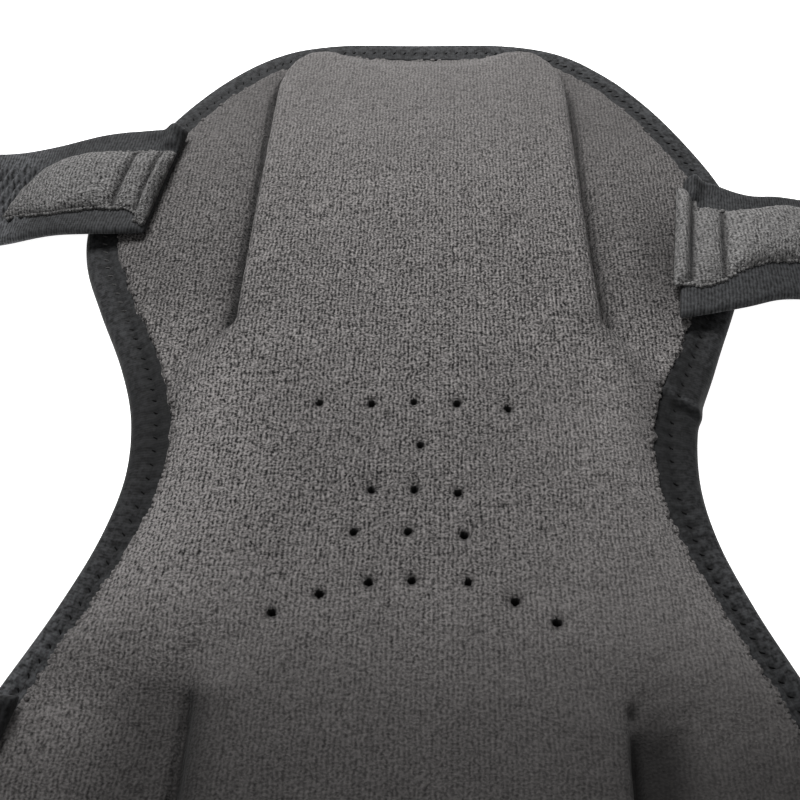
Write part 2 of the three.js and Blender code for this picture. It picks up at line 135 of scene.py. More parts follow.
def settle(plan, height):
    """Points of the brace as it lies, from their plan and height: above the waist the edges lean to the
    right, the right edge lies a little farther out, and the middle stays."""
    x, y = plan[..., 0], plan[..., 1]
    lean = WAIST_LEAN * bell(y - LEAN_ALONG, LEAN_LENGTH) * np.clip(np.abs(x) / LEAN_ACROSS, 0, 1) ** 2
    slack = RIGHT_SLACK * smooth(x, *SLACK_ACROSS) * smooth(y, *SLACK_STARTS) * (1 - smooth(y, *SLACK_STOPS))
    slack = slack * (1 - LAP_HOLD * bell(y - LAP_HOLD_ALONG, LAP_HOLD_LENGTH))
    return np.stack([x + lean + slack, y, height], -1)


def edge_distance(points):
    """Distance of each point from the outline, in blocks so that the table stays small."""
    blocks = np.array_split(points, max(1, len(points) // 2000))
    corners = outline[::2]
    return np.concatenate([
        np.sqrt(((block[:, None] - corners) ** 2).sum(2).min(1)) for block in blocks
    ])


def panel_sheet(half_columns, half_rows, rim_inset, rings):
    """Mesh of the panel seen from above. Rings follow the edge from rim_inset to the inner frame. A grid
    fills the frame: its columns stay straight up to the darts, and the flaps take up the width."""
    top = CURVE_STEPS * (len(quarter) - 1)
    place = np.arange(top + 1)
    framed = (outline + inward * FRAME_INSET)[: top + 1]
    widest = int(np.argmax(framed[:, 0]))
    corner = np.interp(-FRAME_CORNER, -framed[widest:, 0], place[widest:])
    corner_y = np.interp(corner, place, framed[:, 1])
    rows = np.linspace(0, corner_y, half_rows + 1)
    columns = np.linspace(FRAME_CORNER, 0, half_columns + 1)
    on_side = np.interp(rows, framed[:, 1], place)
    on_end = np.interp(-columns, -framed[widest:, 0], place[widest:])
    at = np.concatenate([on_side, on_end[1:]])
    edge = np.stack([np.interp(at, place, a[: top + 1]) for a in (*outline.T, *inward.T)], 1)
    ring = np.concatenate([
        edge, edge[-2::-1] * (-1, 1, -1, 1), edge[1:] * (-1, -1, -1, -1), edge[-2:0:-1] * (1, -1, 1, -1),
    ])
    count = len(ring)

    share = np.linspace(0, 1, rings + 1)[:, None]
    first = rim_inset(ring[:, 1])[None]
    insets = first + (FRAME_INSET - first) * share
    ring_points = ring[:, :2] + ring[:, 2:] * insets[:, :, None]

    across = np.linspace(-FRAME_CORNER, FRAME_CORNER, 2 * half_columns + 1)
    along = np.linspace(-corner_y, corner_y, 2 * half_rows + 1)
    frame_points = ring_points[-1]
    side = np.interp(np.abs(along), rows, frame_points[: half_rows + 1, 0])[:, None]
    end_y = frame_points[half_rows : half_rows + half_columns + 1, 1]
    end = np.interp(np.abs(across), columns[::-1], end_y[::-1])
    plain = np.abs(across)[None]
    outer = np.clip((plain - STRAIGHT_COLUMN) / (FRAME_CORNER - STRAIGHT_COLUMN), 0, 1)
    half = np.where(side < FRAME_CORNER, plain * side / FRAME_CORNER, plain + outer * (side - FRAME_CORNER))
    grid = np.stack([np.sign(across)[None] * half, along[:, None] * end[None] / corner_y], 2)
    inner = grid[1:-1, 1:-1].reshape(-1, 2)

    index = np.zeros(grid.shape[:2], int)
    index[1:-1, 1:-1] = (rings + 1) * count + np.arange(len(inner)).reshape(grid.shape[0] - 2, -1)
    last = rings * count + np.arange(count)
    turn = np.cumsum([half_rows, 2 * half_columns, 2 * half_rows, 2 * half_columns])
    index[half_rows:, -1] = last[: turn[0] + 1]
    index[-1, ::-1] = last[turn[0] : turn[1] + 1]
    index[::-1, 0] = last[turn[1] : turn[2] + 1]
    index[0, :] = last[turn[2] : turn[3] + 1]
    index[: half_rows + 1, -1] = np.append(last[turn[3] :], last[0])

    band = np.arange(rings)[:, None] * count + np.arange(count)[None]
    band_next = np.roll(band, -1, 1)
    quads = np.concatenate([
        np.stack([band, band_next, band_next + count, band + count], 2).reshape(-1, 4),
        np.stack([index[:-1, :-1], index[:-1, 1:], index[1:, 1:], index[1:, :-1]], 2).reshape(-1, 4),
    ])
    points = np.concatenate([ring_points.reshape(-1, 2), inner])
    inset = np.concatenate([insets.ravel(), edge_distance(inner)])
    return points, inset, quads, count


def cloth_mesh(name, points, faces, weave=None):
    """Smooth object from points in millimetres and arrays of faces. weave, if given, holds a UV coordinate
    in millimetres for each corner of the faces."""
    mesh = bpy.data.meshes.new(name)
    mesh.from_pydata((points * MM).tolist(), [], [face for part in faces for face in part.tolist()])
    mesh.shade_smooth()
    if weave is not None:
        mesh.uv_layers.new(name="weave").uv.foreach_set("vector", weave.ravel())
    mesh.validate()
    piece = bpy.data.objects.new(name, mesh)
    bpy.context.collection.objects.link(piece)
    return piece


def repeated(name, points, faces):
    """One mesh of many forms: a row of points for each form, and arrays of the faces of the first."""
    first = np.arange(len(points))[:, None, None] * points.shape[1]
    every = [(first + part).reshape(-1, part.shape[1]) for part in faces]
    return cloth_mesh(name, points.reshape(-1, 3), every)


def punch_vents(piece):
    """Applies the piece's modifiers and cuts the vents through it with one mesh of upright round prisms."""
    low = np.arange(VENT_SIDES)
    high = low + VENT_SIDES
    angle = low / VENT_SIDES * 2 * np.pi
    radius = VENT_RADIUS * np.random.default_rng(7).uniform(*VENT_UNEVEN, (len(VENTS), VENT_SIDES, 1))
    circle = VENTS[:, None] + radius * np.stack([np.cos(angle), np.sin(angle)], 1)
    rings = [np.concatenate([circle, np.full_like(radius, height)], 2) for height in VENT_SPAN]
    wall = np.stack([low, np.roll(low, -1), np.roll(high, -1), high], 1)
    punch = repeated("vent_punch", np.concatenate(rings, 1), [wall, low[None, ::-1], high[None]])
    cut = piece.modifiers.new("vents", "BOOLEAN")
    cut.operation = "DIFFERENCE"
    cut.solver = "EXACT"
    cut.object = punch
    bpy.context.view_layer.update()
    result = bpy.data.meshes.new_from_object(piece.evaluated_get(bpy.context.evaluated_depsgraph_get()))
    piece.modifiers.clear()
    piece.data = result
    bpy.data.objects.remove(punch)


class Shade:
    """A socket of a material's node tree. Arithmetic on it adds Math nodes."""

    def __init__(self, tree, socket=None):
        self.tree = tree
        self.socket = socket

    def node(self, kind, settings=None, sockets=None, out=0):
        """Adds a node with these settings and these values or links of its sockets, and gives its output."""
        made = self.tree.nodes.new(kind)
        for key, value in (settings or {}).items():
            setattr(made, key, value)
        for key, value in (sockets or {}).items():
            if isinstance(value, Shade):
                self.tree.links.new(value.socket, made.inputs[key])
            else:
                made.inputs[key].default_value = value
        return Shade(self.tree, made.outputs[out] if made.outputs else None)

    def math(self, operation, *values):
        return self.node("ShaderNodeMath", {"operation": operation}, dict(enumerate(values)))

    def step(self, low, high):
        """Cubic step of this value from 0 at low to 1 at high."""
        return self.node("ShaderNodeMapRange", {"interpolation_type": "SMOOTHSTEP"},
                         {"Value": self, "From Min": low, "From Max": high})

    def blend(self, low, high):
        """Colour between low and high by this value."""
        return self.node("ShaderNodeMix", {"data_type": "RGBA"}, {0: self, 6: low, 7: high}, 2)

    def axis(self, letter):
        """One coordinate of this place."""
        return self.node("ShaderNodeSeparateXYZ", {}, {"Vector": self}, letter)

    def noise(self, scale, detail):
        """Noise from 0 to 1 at this place, with its scale and its layers of detail."""
        return self.node("ShaderNodeTexNoise", {}, {"Vector": self, "Scale": scale, "Detail": detail}, "Fac")

    def marked(self, name):
        """The number that mark keeps under this name for each point of a mesh."""
        return self.node("ShaderNodeAttribute", {"attribute_name": name}, {}, "Fac")

    def bump(self, strength, distance):
        """Normals bent as if this value were a relief of this distance in metres."""
        return self.node("ShaderNodeBump", {}, {"Height": self, "Strength": strength, "Distance": distance})

    def __add__(self, other):
        return self.math("ADD", self, other)

    def __sub__(self, other):
        return self.math("SUBTRACT", self, other)

    def __rsub__(self, other):
        return self.math("SUBTRACT", other, self)

    def __mul__(self, other):
        return self.math("MULTIPLY", self, other)


def new_finish(name):
    """An empty material and the start of its node tree."""
    finish = bpy.data.materials.new(name)
    finish.use_nodes = True
    finish.node_tree.nodes.clear()
    return finish, Shade(finish.node_tree)


def end_finish(tree, sockets):
    """Principled shader with these sockets on the material's surface."""
    surface = tree.node("ShaderNodeBsdfPrincipled", {}, sockets)
    tree.node("ShaderNodeOutputMaterial", {}, {"Surface": surface})


def millimetres(tree):
    """Object coordinates in millimetres."""
    place = tree.node("ShaderNodeTexCoord", out="Object")
    return tree.node("ShaderNodeVectorMath", {"operation": "SCALE"}, {"Vector": place, "Scale": 1 / MM})


def ribs(along, pitch):
    """Cosine ribs of this pitch along a coordinate, from 0 in the grooves to 1 on the ridges."""
    return along.math("COSINE", along * (2 * np.pi / pitch)) * 0.5 + 0.5


def jersey_finish(name):
    """Fine flat knit: small stitches of wales and courses, their raised crests painted paler as a painted
    highlight, and slow noise makes the dye uneven.
    """
    finish, tree = new_finish(name)
    place = millimetres(tree)
    raised = ribs(place.axis("X"), COVER_WALE) * 0.6 + ribs(place.axis("Y"), COVER_COURSE) * 0.4
    end_finish(tree, {
        "Base Color": (raised * 0.5 + place.noise(0.08, 4.0) * 0.4).blend(COVER_DARK, COVER_PALE),
        "Roughness": 0.85 - raised * 0.1,
        "Normal": raised.bump(0.5, 0.0003),
    })
    return finish


cover_plan, cover_inset, cover_quads, _ = panel_sheet(
    half_columns=44, half_rows=84, rim_inset=lambda y: COVER_RIM + 0 * y, rings=8)
cover_height = COVER_REST + COVER_LIFT * (1 - smooth(cover_inset, *COVER_TURN))
cover = cloth_mesh("panel_cover", settle(cover_plan, cover_height), [cover_quads])
cover_wall = cover.modifiers.new("wall", "SOLIDIFY")
cover_wall.thickness = COVER_THICKNESS * MM
cover_wall.offset = 1
punch_vents(cover)
cover.data.materials.append(jersey_finish("cover jersey"))
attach(cover, "root")
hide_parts("body_panel")
outline_after = np.roll(outline, -1, 0)
outline_area = 0.5 * (outline[:, 0] * outline_after[:, 1] - outline[:, 1] * outline_after[:, 0]).sum()
outline_area * MM * MM

# The lining
# Grey-brown loop towelling over a foam pad, sewn to the cover along four darts. The middle stands higher
# than the flaps, rolls steeply into each dart, and its edge all round is caught under the tape.
TAPE_WIDTH = 10.5
TAPE_THICKNESS = 1.1
TAPE_NOSE = 2.0
TAPE_SHOULDER = 4.2
TAPE_ROUNDING = 1.8
# How much wider the tape is above the waist and below it, where along the leg and over what length.
TAPE_EASES = [(1.4, 14, 22), (-0.35, -25, 18)]
# Height of the tape's margin, and its steps at the thigh end and on the calf.
MARGIN_HEIGHT = 6.0
MARGIN_STEPS = [(-0.6, 125, 160), (2.0, -8, -45)]

FLAP_START = 0.9
FLAP_RISE = 2.3
FLAP_SLOPE = 7
MIDDLE_RISE = 5.2
MIDDLE_SLOPE = 14
SEAM_SLOPE = 3
DART_END = 147
DART_FADE = (146, 156)
WAIST_BORDER = 81.5
WAIST_ROLL = 26.2
CREASE_PLACE = 0.7
CREASE_WIDTH = 1.15
HOLLOW_DEPTH = 1.7
END_CORNER = 13
END_ALONG = (135, 150)
END_ROLL = 5
END_DIP = 18
DIP_ALONG = (140, 155)
DIP_ACROSS = (12, 34)
VENT_DIMPLE = 0.9
VENT_DIMPLE_WIDTH = 2.1
LINING_BASE = 2.2
LINING_TUCK = 2.2
# The layers of the lining's unevenness, each with its height, pitch and seed.
LINING_SWELL = [(0.35, 21, 3), (0.18, 8, 4)]
LINING_PILE = [(0.208, 2.6, 5), (0.182, 1.4, 6)]
LINING_RAGGED = [(0.75, 2.1, 8), (0.35, 5, 9)]

# The four darts and the quarters of the panel round them: thigh left, thigh right, calf left and calf
# right. The rows up to spread are shapes in millimetres: the crease and the hollow lie on the flap's side
# where turn is 1, and the roll runs out to the waist's edge where spread is 1. The others are painted light
# and shade on the pile, not shape: painted shade in the hollow, crease, fold and beside the roll, painted
# paler at the waist's edge and darker on the flaps. A loss counts far down the calf, and a gain away from
# the dart.
DARTS = dict(
    tip_along=(43, 42, 54, 62.5),
    tip_across=(47.9, 51.2, 43.7, 47.0),
    end_across=(46.2, 47.8, 43.7, 48.4),
    roll=(5, 5, 13, 5),
    turn=(1, 1, -1, 1),
    crease=(4.2, 4.2, 2.4, 3.2),
    hollow=(8, 8, 5, 9),
    pit=(2.6, 2.6, 1.0, 2.0),
    pit_size=(1.7, 1.7, 1.7, 1.15),
    pit_place=(2, 2, 2, -3.2),
    run_out=(30, 30, 20, 18),
    spread=(1, 1, 0, 0),
    shade=(0.76, 0.58, 0.95, 0.35),
    shade_width=(2.9, 3.3, 5.4, 2.5),
    line=(0.55, 0.2, 0.6, 0.5),
    fold=(0.33, 0.28, 0, 0),
    roll_shade=(0, 0, 0.33, 0.2),
    roll_shade_width=(10, 10, 5, 10),
    waist_pale=(0.37, 0.25, 0.37, 0.25),
    flap_dark=(0.165, 0.14, -0.1, -0.1),
    flap_pale=(1, 1, 0.55, 0.26),
    flap_pale_loss=(0, 0, 0, 0.12),
    flap_gain=(0, 0, 1.05, 0.7),
    flap_gain_loss=(0, 0, 0.4, 0.2),
    flap_gain_end=(28, 28, 28, 16),
)

# Painted light and shade on the pile: how pale it is painted in the middle, how much darker it is painted
# between two lengths along the leg, and painted shadows, each with how dark it is, where across it lies
# and how wide, and where along and how long.
PAINTED_LIGHT_MIDDLE = 0.83
PAINTED_SHADE_FADES = [(0.06, 30, 70), (0.08, 90, 140), (0.335, -35, -65), (0.08, -60, -75)]
PAINTED_SHADOWS = [(0.42, 71, 8.5, 68, 18), (0.18, 54, 17, -24, 24)]
FAR_DOWN_CALF = (-60, -72)
VENT_SHADE = 0.5
VENT_SHADE_WIDTH = 1.7
PIT_SHADE = 0.8

STAND_AT_ENDS = 0.44
CALF_STAND = 0.09
LEFT_STAND = 0.1
BELOW_LESS = 0.15
RIGHT_LESS = 0.3
TERRY_WALE = 1.05
TERRY_GRAIN = (1.7, 1.9, 1.7)
# Colour of the loops' crowns, and of the painted shade in the gaps between them.
PILE_TIP = (0.29, 0.2745, 0.2695, 1)
PILE_GAP_SHADE = (0.01, 0.0093, 0.0093, 1)


def margin_height(y):
    """Height of the tape at its inner margin: lowest at the thigh end, higher on the calf flaps."""
    return MARGIN_HEIGHT + stepped(y, MARGIN_STEPS)


def tape_reach(y):
    """How far the tape's upper leg reaches in from the edge: the level side of its sloping width, eased out
    above the waist and in below it."""
    ease = sum(wider * bell(y - along, length) for wider, along, length in TAPE_EASES)
    return np.sqrt(TAPE_WIDTH**2 - (margin_height(y) - TAPE_SHOULDER) ** 2) + ease


def tape_top(y, inset):
    """Height of the tape's upper leg: a quarter ellipse from the nose to the shoulder, then level or
    sloping up to the margin."""
    turn = 1 - np.clip(inset / TAPE_ROUNDING, 0, 1)
    shoulder = TAPE_NOSE + (TAPE_SHOULDER - TAPE_NOSE) * np.sqrt(1 - turn**2)
    return shoulder + (margin_height(y) - TAPE_SHOULDER) * np.clip(inset / tape_reach(y), 0, 1)


def uneven(x, y, pitch, seed):
    """Random field from -1 to 1: seeded values on a square lattice of this pitch, blended by cubic steps."""
    size = 256
    table = np.random.default_rng(seed).uniform(-1, 1, (size, size))
    column, row = np.floor(x / pitch), np.floor(y / pitch)
    u, v = (smooth(a, 0, 1) for a in (x / pitch - column, y / pitch - row))
    i, j = (a.astype(int) % size for a in (column, row))
    k, m = (i + 1) % size, (j + 1) % size
    low = table[i, j] * (1 - u) + table[k, j] * u
    high = table[i, m] * (1 - u) + table[k, m] * u
    return low * (1 - v) + high * v


def rough(x, y, layers):
    """Sum of random fields, one for each layer of height, pitch and seed."""
    return sum(height * uneven(x, y, pitch, seed) for height, pitch, seed in layers)


def at_darts(x, y):
    """Every row of DARTS, with the value of the quarter that each point lies in."""
    quarter_of = 2 * (y <= 0) + (x >= 0)
    return SimpleNamespace(**{name: np.take(row, quarter_of) for name, row in DARTS.items()})


def beside_dart(dart, x, y, inset):
    """Distance along the leg past each point's dart tip, and out from the border of the raised middle. The
    border follows the dart and then turns round a corner into the end."""
    reach = np.abs(y)
    past_tip = reach - dart.tip_along
    run = np.clip(past_tip / (DART_END - dart.tip_along), 0, 1)
    to_dart = dart.tip_across * (1 - run) + dart.end_across * run - np.abs(x)
    to_end = inset - tape_reach(y) + 60 * (1 - smooth(reach, 90, 120))
    corner = np.hypot(np.maximum(0, END_CORNER - to_dart), np.maximum(0, END_CORNER - to_end))
    return past_tip, corner - np.maximum(END_CORNER, np.minimum(to_dart, to_end))


def end_dip(x, y):
    """How much the middle of an end lies lower than its two shoulders, from 0 to 1."""
    return smooth(np.abs(y), *DIP_ALONG) * (1 - smooth(np.abs(x), *DIP_ACROSS))


def vent_distance(x, y):
    """Distance of each point from the middle of the nearest vent."""
    return np.sqrt(((x[:, None] - VENTS[:, 0]) ** 2 + (y[:, None] - VENTS[:, 1]) ** 2).min(1))


def dart_pit(dart, past_tip, aside, share, squeeze):
    """Bell round the pit at each point's dart tip, a share of its size wide and squeezed along the leg."""
    past_pit = past_tip - dart.pit_place
    return bell(np.hypot(aside, squeeze * past_pit), share * dart.pit_size)


def lining_height(x, y, inset):
    """Height of the towelling: the flap and the middle rise from the tape's margin, which is ragged. The
    middle ends in a roll at each dart and in two round shoulders at each end. A crease and a hollow run
    along the dart, with a pit at its tip."""
    past_margin = inset - tape_reach(y)
    inside = np.maximum(0, past_margin)
    dart = at_darts(x, y)
    past_tip, beside = beside_dart(dart, x, y, inset)
    waist = 1 - smooth(past_tip, -dart.run_out, 4)
    spread = waist * dart.spread
    dip = end_dip(x, y)
    at_end = smooth(np.abs(y), *END_ALONG)
    gap = (WAIST_BORDER - np.abs(x)) * spread - beside * (1 - spread)
    width = dart.roll * (1 - waist) + WAIST_ROLL * waist
    width = width * (1 - at_end) + (END_ROLL + (END_DIP - END_ROLL) * dip) * at_end
    share = np.clip(gap / width, 0, 1)
    roll = (1 - waist) ** 3 * (1 - dip)
    middle = np.sqrt(1 - (1 - share) ** 2) * roll + smooth(share, 0, 1) * (1 - roll)
    middle = 1 - (1 - middle) * (1 - waist + spread)
    flap = FLAP_START * (1 - dip) + (FLAP_RISE - FLAP_START) * (1 - np.exp(-inside / FLAP_SLOPE))
    raised = MIDDLE_RISE * middle * (1 - waist * np.exp(-inside / MIDDLE_SLOPE))
    sewn = smooth(past_tip, -1, 8) * (1 - np.exp(-inside / SEAM_SLOPE)) * (1 - smooth(np.abs(y), *DART_FADE))
    lean = beside * dart.turn
    crease = dart.crease * bell(lean - CREASE_PLACE, CREASE_WIDTH)
    hollow = HOLLOW_DEPTH * bell(np.maximum(0, lean), dart.hollow) * bell(np.minimum(0, lean), 1)
    pit = dart.pit * dart_pit(dart, past_tip, lean - CREASE_PLACE, 1, 0.7)
    vent = VENT_DIMPLE * bell(vent_distance(x, y), VENT_DIMPLE_WIDTH)
    swell = rough(x, y, LINING_SWELL) * smooth(inside, 1, 12)
    shown = margin_height(y) + flap + raised - sewn * (crease + hollow) - pit + swell - vent
    edge = tape_top(y, inset) - 0.8
    risen = smooth(past_margin + 0.3 + rough(x, y, LINING_RAGGED), -1.1, 0.9)
    shown = edge + (shown - edge + rough(x, y, LINING_PILE)) * risen
    return np.maximum(shown, LINING_BASE + 0.5)


def painted_light_and_tone(x, y, inset):
    """How pale the pile is painted, all of it painted light and shade: darker at both ends and on the flaps,
    painted shade in folds and hollows, a painted shadow beside the right strap, darkest painted shade in the
    darts' creases and pits and round the vents, and painted paler beside the waist."""
    # All of this is painted light and shade in the pile's colour, laid over the lining's real relief.
    dart = at_darts(x, y)
    past_tip, beside = beside_dart(dart, x, y, inset)
    waist = (1 - smooth(np.abs(y), 15, 60)) * smooth(np.abs(x), 25, 55)
    flap = smooth(past_tip, -12, 16) * smooth(beside, -3, 3)
    pale = PAINTED_LIGHT_MIDDLE + dart.waist_pale * waist - dart.flap_dark * flap - stepped(y, PAINTED_SHADE_FADES)

    # Painted shade along a fold from each thigh dart's tip to the waist's edge.
    fold_across = 48 + 14 * smooth(46 - y, 0, 26)
    fold = dart.fold * bell(np.abs(x) - fold_across, 6)
    shade = fold * smooth(y, -10, 8) * (1 - smooth(y, 44, 54))
    # Painted shadows: one beside the right strap and one below the waist.
    for dark, across, width, along, length in PAINTED_SHADOWS:
        shade = shade + dark * bell(x - across, width) * bell(y - along, length)
    at_dart = smooth(past_tip, -8, 3)
    # Painted shade beside the calf darts' rolls.
    roll = dart.roll_shade * bell(beside, dart.roll_shade_width)
    shade = shade + roll * smooth(-beside, -1, 1) * at_dart
    # Painted shade round the vents.
    vent = VENT_SHADE * np.exp(-((vent_distance(x, y) / VENT_SHADE_WIDTH) ** 4))

    # Painted light on the calf flaps beside their darts: darker at the dart, paler away from it.
    deep = smooth(y, *FAR_DOWN_CALF)
    next_to = dart.flap_pale - dart.flap_pale_loss * deep
    gain = dart.flap_gain - dart.flap_gain_loss * deep
    calf_flap_painted_light = next_to + gain * smooth(beside, 6, dart.flap_gain_end)
    calf_flap_painted_light = 1 + (calf_flap_painted_light - 1) * smooth(beside, -1, 1) * at_dart

    # Painted shade in the darts' hollows, creases and pits.
    lean = beside * dart.turn
    sewn = smooth(past_tip, -1, 4) * (1 - smooth(np.abs(y), *DART_FADE))
    hollow = dart.shade * smooth(lean, -0.6, 0.6) * (1 - 0.45 * smooth(y, 68, 113))
    hollow = hollow * np.exp(-np.maximum(0, lean) / dart.shade_width)
    line = dart.line * bell(lean - CREASE_PLACE - 0.2, 0.9)
    pit = PIT_SHADE * dart_pit(dart, past_tip, lean - CREASE_PLACE - 0.3, 0.85, 0.65)
    return pale * (1 - shade) * (1 - vent) * calf_flap_painted_light * (1 - sewn * hollow) * (1 - sewn * line) * (1 - pit)


def pile_stand(x, y):
    """How upright the loops stand: fully round the waist, flatter at the two ends and towards the right."""
    flat = STAND_AT_ENDS + CALF_STAND * smooth(-y, 0, 40)
    flat = flat + LEFT_STAND * smooth(-x, 40, 60) * smooth(-y, 30, 50)
    waist = smooth(y, -60, -5) * (1 - smooth(y, 60, 150))
    below = 1 - smooth(y, 10, 50)
    less = (1 - BELOW_LESS * below) * (1 - RIGHT_LESS * below * smooth(x, 5, 60))
    return (flat + (1 - flat) * waist) * less


def mark(piece, name, values):
    """Keeps numbers under this name for the points of the piece's mesh: one for all of them, one for each,
    or one for each of its equal parts."""
    values = np.ravel(values)
    full = np.repeat(values, len(piece.data.vertices) // len(values))
    piece.data.attributes.new(name, "FLOAT", "POINT").data.foreach_set("value", full.astype(np.float32))


def terry_finish(name, tip, pit):
    """Loop pile: wavy wales along the leg, broken into loops by fine grain and domed cells, pale on the
    crowns (tip) and painted dark in the gaps (pit), a painted shade. The relief and its painted shade are
    lower where the pile stands less; slow noise mottles the tone, and the painted light and tone mark darkens
    it."""
    finish, tree = new_finish(name)
    place = millimetres(tree)
    wale = ribs(place.axis("X") + place.noise(0.3, 2.0) * 1.6, TERRY_WALE)
    cells = {"Vector": place, "Scale": 0.8, "Randomness": 0.9}
    loop = tree.node("ShaderNodeTexVoronoi", {"voronoi_dimensions": "2D", "feature": "F1"}, cells, "Distance")
    fine = tree.node("ShaderNodeVectorMath", {"operation": "MULTIPLY"}, {0: place, 1: TERRY_GRAIN})
    grain = fine.noise(1.0, 1.0).step(0.28, 0.72)
    relief = (wale - 0.5) * 0.46 + (grain - 0.5) * 0.86 + (0.42 - loop) * 0.58
    crown = relief * tree.marked("stand") + 0.5
    patch = place.noise(0.07, 3.0) * 0.3 + 0.85
    end_finish(tree, {
        "Base Color": (crown * patch * tree.marked("painted_light_and_tone")).blend(pit, tip),
        "Roughness": 0.95,
        "Specular IOR Level": 0.2,
        "Sheen Weight": 0.05,
        "Sheen Roughness": 0.6,
        "Normal": crown.bump(0.8, 0.0005),
    })
    return finish


lining_plan, lining_inset, lining_quads, lining_count = panel_sheet(
    half_columns=96, half_rows=180, rim_inset=lambda y: tape_reach(y) - LINING_TUCK, rings=14)
lining_top = lining_height(*lining_plan.T, lining_inset)
rim = np.arange(lining_count)
low_rim = len(lining_plan) + rim
lining_wall = np.stack([rim, low_rim, np.roll(low_rim, -1), np.roll(rim, -1)], 1)
# Below, level strips join each point of the lower rim to its mirror image across the leg.
top_middle = lining_count // 4
right_side = np.arange(1 - top_middle, top_middle - 1)
left_side = 2 * top_middle - right_side
lining_base = np.stack([low_rim[right_side], low_rim[left_side % lining_count],
                        low_rim[(left_side - 1) % lining_count], low_rim[right_side + 1]], 1)
lining_ends = np.stack([low_rim[[top_middle - 1, top_middle + 1, top_middle]],
                        low_rim[[-top_middle, -top_middle - 1, -top_middle + 1]]])
lining_points = np.concatenate([
    settle(lining_plan, lining_top),
    settle(lining_plan[:lining_count], np.full(lining_count, LINING_BASE)),
])
lining = cloth_mesh("panel_lining", lining_points, [lining_quads, lining_wall, lining_base, lining_ends])
lining_depth = np.concatenate([lining_inset, lining_inset[:lining_count]])
# The towelling's painted light and shade, kept as a mark that darkens or lightens its colour.
mark(lining, "painted_light_and_tone", painted_light_and_tone(*lining_points[:, :2].T, lining_depth))
mark(lining, "stand", pile_stand(*lining_points[:, :2].T))
punch_vents(lining)
lining_finish = terry_finish("lining towelling", PILE_TIP, PILE_GAP_SHADE)
lining.data.materials.append(lining_finish)
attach(lining, "root")
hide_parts("body_panel")

# The edge tape
# Black ribbed knit tape folded round the whole edge, with its upper leg over the towelling and its lower
# leg under the cover. One row of stitches holds both legs, and the tape's ends lap over each other at the
# right waist.
TAPE_SECTIONS = 1300
TAPE_WAVE = [(0.35, 6, 12), (0.25, 2.5, 13)]
TAPE_CALM = (35, 75)
TAPE_RIB = 0.7
# The tape's section: inset and height of the points of its lower leg, outside and inside, the shares of its
# reach of those under its upper leg, and the inset where that turns back.
FLOOR_LEG = np.array([(6.5, 0.02), (4, 0.0), (1.8, 0.0), (0.8, 0.25), (0.2, 1.0), (0.0, 2.0)])
FOLD_LEG = np.array([(1.6, 1.15), (6.5, 1.15)])
HIDDEN_LEG = np.array([1, 0.75, 0.5, 0.3])
HIDDEN_TURN = 1.9
STITCH_PITCH = 3.5
STITCH_SHARE = 0.6
LAP_ACROSS = 73
LAP_ALONG = 16.8
LAP_SLANT = 3.5
LAP_EDGE = 0.8
LAP_LENGTH = 16
LAP_RISE = 1.5
LAP_CREASE = 0.9
TAPE_DARK = (0.005, 0.0051, 0.0054, 1)
TAPE_PALE = (0.096, 0.0985, 0.104, 1)


def wrap_faces(rows, around, ring):
    """Quads of a surface swept through rows of points that close round each section, and from the last
    section to the first if ring is true. Also gives each corner's row and point, counted past the joins."""
    row = np.arange(rows if ring else rows - 1)[:, None] + np.zeros((1, around), int)
    point = np.arange(around)[None] + np.zeros_like(row)
    corner_row = np.stack([row, row + 1, row + 1, row], 2).reshape(-1, 4)
    corner_point = np.stack([point, point, point + 1, point + 1], 2).reshape(-1, 4)
    return (corner_row % rows) * around + corner_point % around, corner_row, corner_point


def knit_finish(name, pitch, ribbing):
    """Knit tape: ribs across it on the weave map, as strong as ribbing says, over slight courses along it,
    both a little uneven. The rib crests are painted paler, a painted highlight, over pale lint, and all of it
    is scaled by the painted light and tone mark."""
    finish, tree = new_finish(name)
    weave = tree.node("ShaderNodeUVMap", {"uv_map": "weave"})
    place = millimetres(tree)
    sway = place.noise(0.5, 2.0)
    lint = place.noise(0.9, 4.0)
    rib = ribs(weave.axis("X") + sway * 0.9, pitch)
    course = ribs(weave.axis("Y") + sway * 0.4, 0.8)
    height = rib * ribbing + course * 0.15 + lint * 0.8
    shade = rib * ribbing + lint.step(0.3, 0.7) * (1 - ribbing)
    end_finish(tree, {
        "Base Color": (shade * tree.marked("painted_light_and_tone")).blend(TAPE_DARK, TAPE_PALE),
        "Roughness": 0.85 - rib * 0.1,
        "Specular IOR Level": 0.22,
        "Sheen Weight": 0.03,
        "Sheen Roughness": 0.5,
        "Normal": height.bump(0.4, 0.0003),
    })
    return finish


edge_place = ring_places(outline)
edge_total = edge_place[-1]


def on_edge(place):
    """Points of the outline and their inward directions at these lengths along it."""
    return tuple(np.stack([np.interp(place, edge_place[:-1], a, period=edge_total) for a in table.T], 1)
                 for table in (outline, inward))


def past_lap(place, share):
    """Length along the tape past the slanting step of the lap."""
    return place - np.interp(LAP_ALONG, outline[:100, 1], edge_place[:100]) - LAP_SLANT * share


def stitch_beat(place):
    """1 at each stitch and -1 between two."""
    return np.cos(2 * np.pi * place / STITCH_PITCH)


